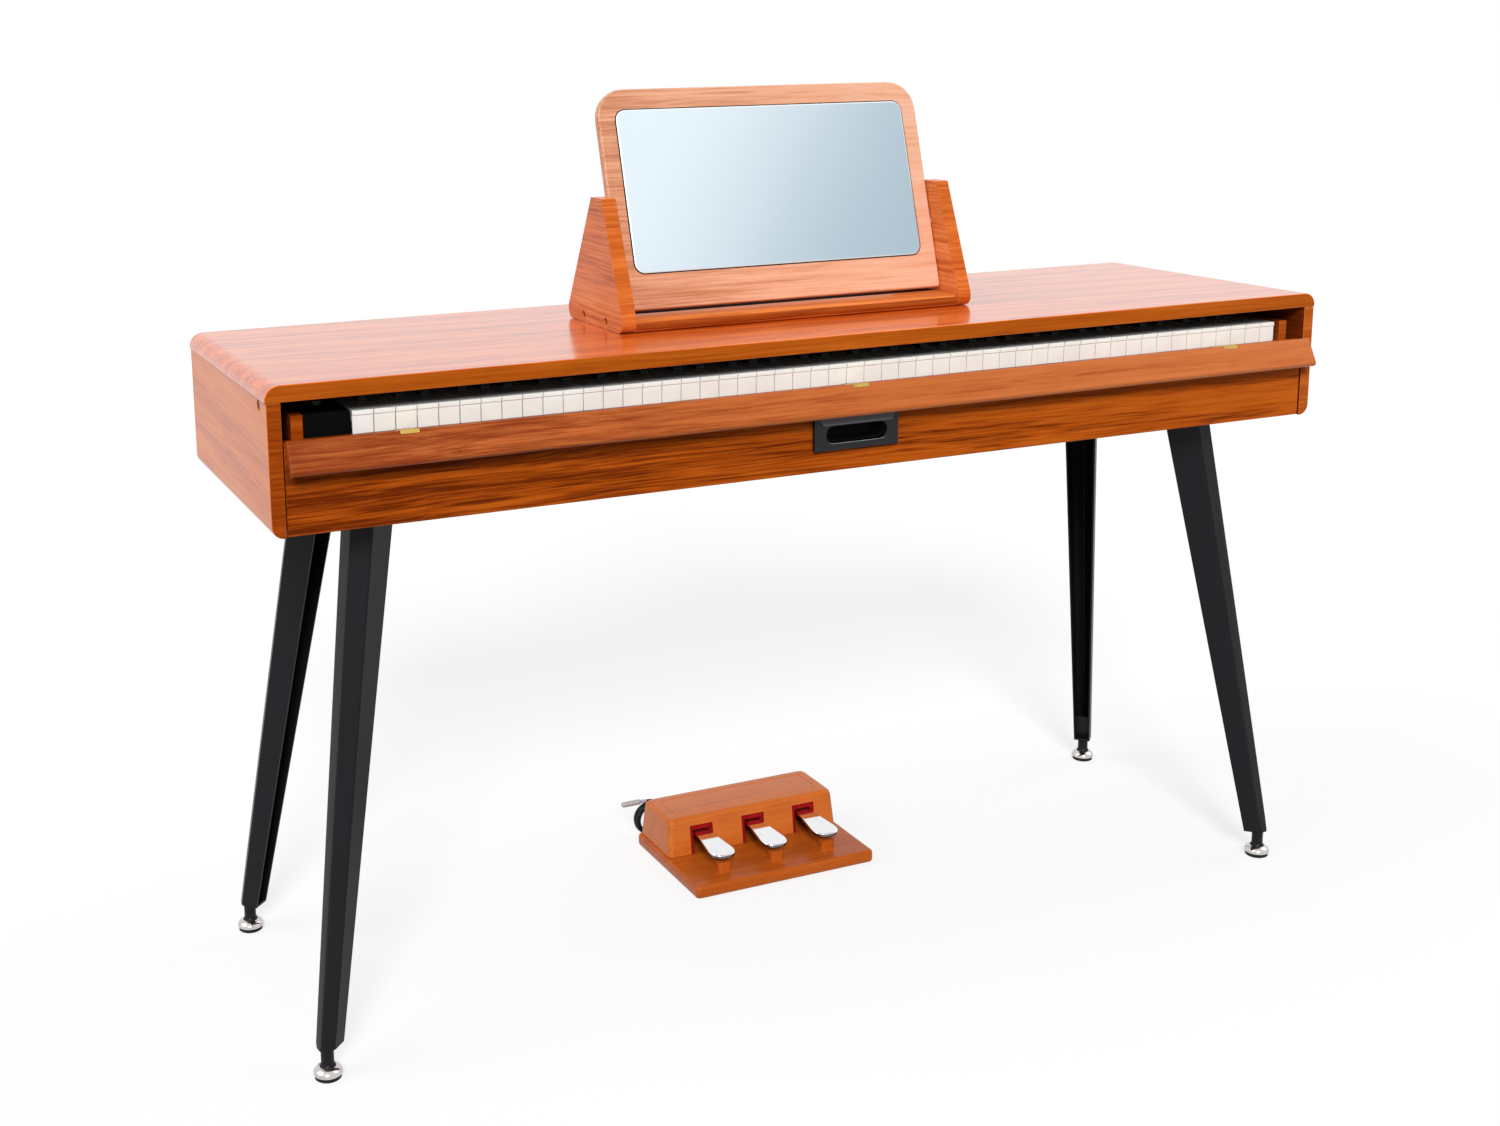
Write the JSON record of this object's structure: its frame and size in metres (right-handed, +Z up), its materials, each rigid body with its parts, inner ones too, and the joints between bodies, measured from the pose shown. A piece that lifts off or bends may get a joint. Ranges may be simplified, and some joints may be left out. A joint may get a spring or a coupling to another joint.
{
  "type": "digital piano",
  "caption": "Writing-desk digital piano in warm brown wood on splayed steel legs, with a keyboard drawer, drop flap, tilting mirror and a separate pedal unit.",
  "frame": {"origin": "middle of the piano's footprint, on the floor", "axes": "+X to the player's right, +Y to the back, +Z up"},
  "size_m": [1.355, 0.4489, 1.0345],
  "materials": {
    "desktop_wood": "satin",
    "case_wood": "satin",
    "black_plastic": "matte",
    "black_key_plastic": "satin",
    "white_key_plastic": "gloss",
    "charcoal_plastic": "satin",
    "leg_paint": "satin",
    "slide_steel": "brushed",
    "bright_chrome": "polished",
    "hinge_brass": "polished",
    "silvered_glass": "polished",
    "cord_rubber": "matte",
    "grey_plastic": "matte"
  },
  "bodies": {
    "cabinet": {"top_panel": "desktop_wood", "left_side_panel": "case_wood", "right_side_panel": "case_wood", "back_panel": "case_wood", "bottom_panel": "case_wood", "socket_plate": "black_plastic", "left_slide_outer": "slide_steel", "right_slide_outer": "slide_steel", "front_left_leg": "leg_paint", "front_right_leg": "leg_paint", "back_left_leg": "leg_paint", "back_right_leg": "leg_paint", "front_left_foot": "bright_chrome", "front_right_foot": "bright_chrome", "back_left_foot": "bright_chrome", "back_right_foot": "bright_chrome", "left_stand_bracket": "case_wood", "right_stand_bracket": "case_wood", "stand_base": "case_wood", "pedal_base": "case_wood", "pedal_box": "case_wood", "pedal_cord_gland": "black_plastic", "pedal_cord_lead": "cord_rubber", "pedal_cord_coil": "cord_rubber", "pedal_cord_plug": "grey_plastic"},
    "drawer": {"drawer_front": "case_wood", "drawer_tray": "case_wood", "left_cheek": "case_wood", "right_cheek": "case_wood", "keyboard_case": "black_plastic", "drawer_pull": "charcoal_plastic", "left_slide_inner": "slide_steel", "right_slide_inner": "slide_steel", "flap_hinge_left": "hinge_brass", "flap_hinge_middle": "hinge_brass", "flap_hinge_right": "hinge_brass", "left_speaker": "black_plastic", "right_speaker": "black_plastic"},
    "flap": {"flap": "case_wood"},
    "mirror": {"mirror_board": "case_wood", "mirror_glass": "silvered_glass"},
    "volume_knob": {"volume_knob": "charcoal_plastic"},
    "power_button": {"power_button": "charcoal_plastic"},
    "white_key_a": {"white_key_a": "white_key_plastic"},
    "white_key_b": {"white_key_b": "white_key_plastic"},
    "white_key_c": {"white_key_c": "white_key_plastic"},
    "white_key_d": {"white_key_d": "white_key_plastic"},
    "white_key_e": {"white_key_e": "white_key_plastic"},
    "white_key_f": {"white_key_f": "white_key_plastic"},
    "white_key_g": {"white_key_g": "white_key_plastic"},
    "black_key_a_sharp": {"black_key_a_sharp": "black_key_plastic"},
    "black_key_c_sharp": {"black_key_c_sharp": "black_key_plastic"},
    "black_key_d_sharp": {"black_key_d_sharp": "black_key_plastic"},
    "black_key_f_sharp": {"black_key_f_sharp": "black_key_plastic"},
    "black_key_g_sharp": {"black_key_g_sharp": "black_key_plastic"},
    "white_keys": {"white_keys": "white_key_plastic"},
    "black_keys": {"black_keys": "black_key_plastic"},
    "left_pedal": {"left_pedal": "bright_chrome"},
    "middle_pedal": {"middle_pedal": "bright_chrome"},
    "right_pedal": {"right_pedal": "bright_chrome"}
  },
  "joints": [
    {"name": "drawer_slide", "type": "slide", "parent": "cabinet", "child": "drawer", "axis": [0, -1, 0], "range_m": [0, 0.2]},
    {"name": "flap_hinge", "type": "hinge", "parent": "drawer", "child": "flap", "pos_m": [0, -0.18365, 0.703], "axis": [-1, 0, 0], "range_deg": [0, 153]},
    {"name": "mirror_tilt", "type": "hinge", "parent": "cabinet", "child": "mirror", "pos_m": [0, 0.00295, 0.8623], "axis": [1, 0, 0], "range_deg": [-12, 16]},
    {"name": "volume_turn", "type": "hinge", "parent": "drawer", "child": "volume_knob", "pos_m": [-0.60965, -0.11465, 0.728], "axis": [0, 0, -1], "range_deg": [-140, 140]},
    {"name": "power_press", "type": "slide", "parent": "drawer", "child": "power_button", "axis": [0, 0, -1], "range_m": [0, 0.0019], "stiffness_N_per_m": 800, "springref_m": -0.002},
    {"name": "press_white_a", "type": "hinge", "parent": "drawer", "child": "white_key_a", "pos_m": [0, 0.07735, 0.706], "axis": [1, 0, 0], "range_deg": [0, 2.4], "stiffness_Nm_per_rad": 2, "springref_deg": -5.73},
    {"name": "press_white_b", "type": "hinge", "parent": "drawer", "child": "white_key_b", "pos_m": [0, 0.07735, 0.706], "axis": [1, 0, 0], "range_deg": [0, 2.4], "stiffness_Nm_per_rad": 2, "springref_deg": -5.73},
    {"name": "press_white_c", "type": "hinge", "parent": "drawer", "child": "white_key_c", "pos_m": [0, 0.07735, 0.706], "axis": [1, 0, 0], "range_deg": [0, 2.4], "stiffness_Nm_per_rad": 2, "springref_deg": -5.73},
    {"name": "press_white_d", "type": "hinge", "parent": "drawer", "child": "white_key_d", "pos_m": [0, 0.07735, 0.706], "axis": [1, 0, 0], "range_deg": [0, 2.4], "stiffness_Nm_per_rad": 2, "springref_deg": -5.73},
    {"name": "press_white_e", "type": "hinge", "parent": "drawer", "child": "white_key_e", "pos_m": [0, 0.07735, 0.706], "axis": [1, 0, 0], "range_deg": [0, 2.4], "stiffness_Nm_per_rad": 2, "springref_deg": -5.73},
    {"name": "press_white_f", "type": "hinge", "parent": "drawer", "child": "white_key_f", "pos_m": [0, 0.07735, 0.706], "axis": [1, 0, 0], "range_deg": [0, 2.4], "stiffness_Nm_per_rad": 2, "springref_deg": -5.73},
    {"name": "press_white_g", "type": "hinge", "parent": "drawer", "child": "white_key_g", "pos_m": [0, 0.07735, 0.706], "axis": [1, 0, 0], "range_deg": [0, 2.4], "stiffness_Nm_per_rad": 2, "springref_deg": -5.73},
    {"name": "press_black_a_sharp", "type": "hinge", "parent": "drawer", "child": "black_key_a_sharp", "pos_m": [0, 0.07735, 0.706], "axis": [1, 0, 0], "range_deg": [0, 2.4], "stiffness_Nm_per_rad": 2, "springref_deg": -5.73},
    {"name": "press_black_c_sharp", "type": "hinge", "parent": "drawer", "child": "black_key_c_sharp", "pos_m": [0, 0.07735, 0.706], "axis": [1, 0, 0], "range_deg": [0, 2.4], "stiffness_Nm_per_rad": 2, "springref_deg": -5.73},
    {"name": "press_black_d_sharp", "type": "hinge", "parent": "drawer", "child": "black_key_d_sharp", "pos_m": [0, 0.07735, 0.706], "axis": [1, 0, 0], "range_deg": [0, 2.4], "stiffness_Nm_per_rad": 2, "springref_deg": -5.73},
    {"name": "press_black_f_sharp", "type": "hinge", "parent": "drawer", "child": "black_key_f_sharp", "pos_m": [0, 0.07735, 0.706], "axis": [1, 0, 0], "range_deg": [0, 2.4], "stiffness_Nm_per_rad": 2, "springref_deg": -5.73},
    {"name": "press_black_g_sharp", "type": "hinge", "parent": "drawer", "child": "black_key_g_sharp", "pos_m": [0, 0.07735, 0.706], "axis": [1, 0, 0], "range_deg": [0, 2.4], "stiffness_Nm_per_rad": 2, "springref_deg": -5.73},
    {"name": "press_white_row", "type": "hinge", "parent": "drawer", "child": "white_keys", "pos_m": [0, 0.07735, 0.706], "axis": [1, 0, 0], "range_deg": [0, 2.4], "stiffness_Nm_per_rad": 90, "springref_deg": -5.73},
    {"name": "press_black_row", "type": "hinge", "parent": "drawer", "child": "black_keys", "pos_m": [0, 0.07735, 0.706], "axis": [1, 0, 0], "range_deg": [0, 2.4], "stiffness_Nm_per_rad": 60, "springref_deg": -5.73},
    {"name": "left_pedal_press", "type": "hinge", "parent": "cabinet", "child": "left_pedal", "pos_m": [-0.0455, 0.18635, 0.0475], "axis": [1, 0, 0], "range_deg": [0, 2.3], "stiffness_Nm_per_rad": 12, "springref_deg": -8.59},
    {"name": "middle_pedal_press", "type": "hinge", "parent": "cabinet", "child": "middle_pedal", "pos_m": [0.0325, 0.18635, 0.0475], "axis": [1, 0, 0], "range_deg": [0, 2.3], "stiffness_Nm_per_rad": 12, "springref_deg": -8.59},
    {"name": "right_pedal_press", "type": "hinge", "parent": "cabinet", "child": "right_pedal", "pos_m": [0.1105, 0.18635, 0.0475], "axis": [1, 0, 0], "range_deg": [0, 2.3], "stiffness_Nm_per_rad": 12, "springref_deg": -8.59}
  ]
}
